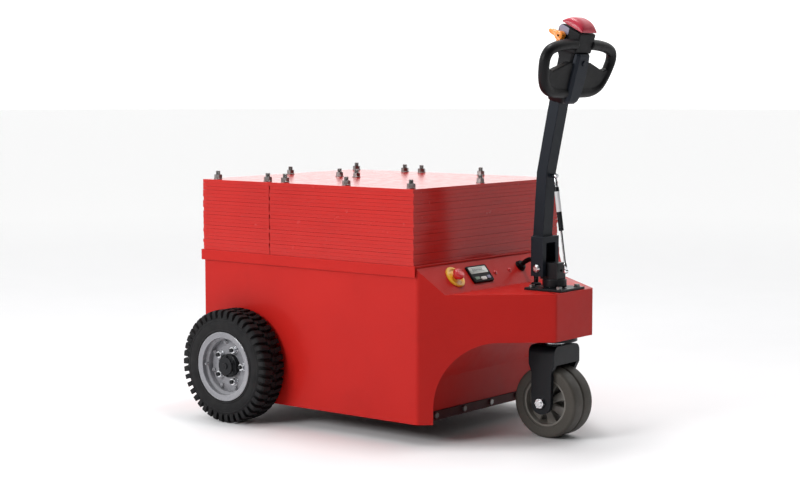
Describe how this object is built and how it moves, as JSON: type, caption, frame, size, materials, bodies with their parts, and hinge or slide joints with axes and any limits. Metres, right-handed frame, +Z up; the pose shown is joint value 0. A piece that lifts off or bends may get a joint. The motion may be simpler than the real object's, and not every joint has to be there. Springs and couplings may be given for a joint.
{
  "type": "electric tow tractor",
  "caption": "Pedestrian electric tow tractor with ballast plates on a steel body, driven rear wheels, a steered front wheel, a sprung tiller and a rear hitch.",
  "frame": {"origin": "on the ground under the middle of the machine's length and width", "axes": "+X towards the tiller end, +Y to the machine's left, +Z up"},
  "size_m": [1.3902, 1.022, 1.3389],
  "materials": {
    "red_paint": "glossy powder coat",
    "black_paint": "satin black paint",
    "zinc_steel": "bright zinc plate",
    "rim_silver": "silver wheel paint",
    "tyre_black": "solid black rubber",
    "tyre_taupe": "grey non-marking polyurethane",
    "hub_grey": "grey cast wheel centre",
    "slate_paint": "satin dark slate paint",
    "black_plastic": "moulded black plastic",
    "slate_plastic": "moulded slate plastic",
    "grip_black": "soft black grip",
    "belly_red": "glossy red plastic",
    "throttle_orange": "orange moulded plastic",
    "button_grey": "pale grey plastic",
    "estop_yellow": "yellow plastic",
    "estop_red": "red plastic",
    "display_lens": "pale liquid crystal window"
  },
  "bodies": {
    "chassis": {"side_panel_left": "red_paint", "side_panel_right": "red_paint", "rear_panel": "red_paint", "front_bulkhead": "red_paint", "floor_plate": "black_paint", "nose_front_panel": "red_paint", "nose_top_plate": "red_paint", "console_panel": "red_paint", "ballast_tray": "red_paint", "chassis_frame": "black_paint", "rear_ballast_plates": "red_paint", "front_ballast_plates": "red_paint", "ballast_studs": "zinc_steel", "ballast_nuts": "zinc_steel", "batteries": "black_plastic", "battery_clamp": "zinc_steel", "motor_controller": "black_paint", "charging_inlet": "black_plastic", "axle_housing": "black_paint", "drive_motor": "slate_paint", "tow_hitch": "black_paint", "frame_bolts": "zinc_steel", "kingpin_bearings": "zinc_steel", "lower_bearing_plate": "black_paint", "swivel_base_plate": "black_paint", "base_plate_bolts": "zinc_steel", "estop_collar": "estop_yellow", "display_bezel": "black_plastic", "display_glass": "display_lens", "indicator_lamps": "estop_red", "cable_glands": "black_plastic", "wiring_hose": "grip_black"},
    "estop_button": {"estop_mushroom": "estop_red"},
    "hitch_pin": {"tow_pin": "zinc_steel"},
    "rear_wheel_left": {"rear_tyre_left": "tyre_black", "rear_rim_left": "rim_silver", "rear_hub_left": "black_paint", "wheel_nuts_left": "zinc_steel"},
    "rear_wheel_right": {"rear_tyre_right": "tyre_black", "rear_rim_right": "rim_silver", "rear_hub_right": "black_paint", "wheel_nuts_right": "zinc_steel"},
    "steering": {"steering_fork": "black_paint", "kingpin": "zinc_steel", "front_axle": "zinc_steel", "swivel_collar": "black_paint", "pivot_block": "black_paint", "pivot_pin": "zinc_steel"},
    "front_wheel": {"front_tyre": "tyre_taupe", "front_wheel_hub": "hub_grey"},
    "gas_rod": {"gas_spring_rod": "zinc_steel"},
    "gas_cylinder": {"gas_spring_cylinder": "black_plastic"},
    "tiller": {"tiller_bracket": "slate_paint", "tiller_tube": "slate_paint", "head_casing": "black_plastic", "head_cover": "slate_plastic", "grip_loops": "grip_black"},
    "belly_switch": {"belly_button": "belly_red"},
    "thumb_throttle": {"throttle": "throttle_orange"},
    "horn_switch": {"horn_button": "button_grey"}
  },
  "joints": [
    {"name": "steering_swivel", "type": "hinge", "parent": "chassis", "child": "steering", "pos_m": [0.57191, 0, 0.4], "axis": [0, 0, 1], "range_deg": [-90, 90]},
    {"name": "front_wheel_spin", "type": "hinge", "parent": "steering", "child": "front_wheel", "pos_m": [0.57191, 0, 0.116], "axis": [0, 1, 0], "continuous": true},
    {"name": "rear_left_spin", "type": "hinge", "parent": "chassis", "child": "rear_wheel_left", "pos_m": [-0.41009, 0.45, 0.19], "axis": [0, 1, 0], "continuous": true},
    {"name": "rear_right_spin", "type": "hinge", "parent": "chassis", "child": "rear_wheel_right", "pos_m": [-0.41009, -0.45, 0.19], "axis": [0, 1, 0], "continuous": true},
    {"name": "tiller_pivot", "type": "hinge", "parent": "steering", "child": "tiller", "pos_m": [0.53391, 0, 0.544], "axis": [0, 1, 0], "range_deg": [0, 70], "stiffness_Nm_per_rad": 45, "springref_deg": -91.67},
    {"name": "gas_spring_swing", "type": "hinge", "parent": "steering", "child": "gas_rod", "pos_m": [0.61491, 0, 0.537], "axis": [0, 1, 0], "range_deg": [0, 79.1]},
    {"name": "gas_spring_stroke", "type": "slide", "parent": "gas_rod", "child": "gas_cylinder", "axis": [0.1457, 0, -0.9893], "range_m": [0, 0.0845]},
    {"name": "estop_press", "type": "slide", "parent": "chassis", "child": "estop_button", "axis": [-0.7719, 0, -0.6357], "range_m": [0, 0.005]},
    {"name": "hitch_pin_lift", "type": "slide", "parent": "chassis", "child": "hitch_pin", "axis": [0, 0, 1], "range_m": [0, 0.11]},
    {"name": "belly_press", "type": "slide", "parent": "tiller", "child": "belly_switch", "axis": [-0.6404, 0, -0.768], "range_m": [0, 0.004], "stiffness_N_per_m": 2500, "springref_m": -0.002},
    {"name": "throttle_turn", "type": "hinge", "parent": "tiller", "child": "thumb_throttle", "pos_m": [0.62337, 0, 1.2809], "axis": [0, 1, 0], "range_deg": [-20, 20], "stiffness_Nm_per_rad": 0.6},
    {"name": "horn_press", "type": "slide", "parent": "tiller", "child": "horn_switch", "axis": [-0.9613, 0, 0.2756], "range_m": [0, 0.003], "stiffness_N_per_m": 600, "springref_m": -0.002}
  ],
  "couplings": [
    {"joint": "gas_spring_swing", "follows": "tiller_pivot", "ratio": 1.1282},
    {"joint": "gas_spring_stroke", "follows": "tiller_pivot", "m_per_rad": 0.068725}
  ]
}
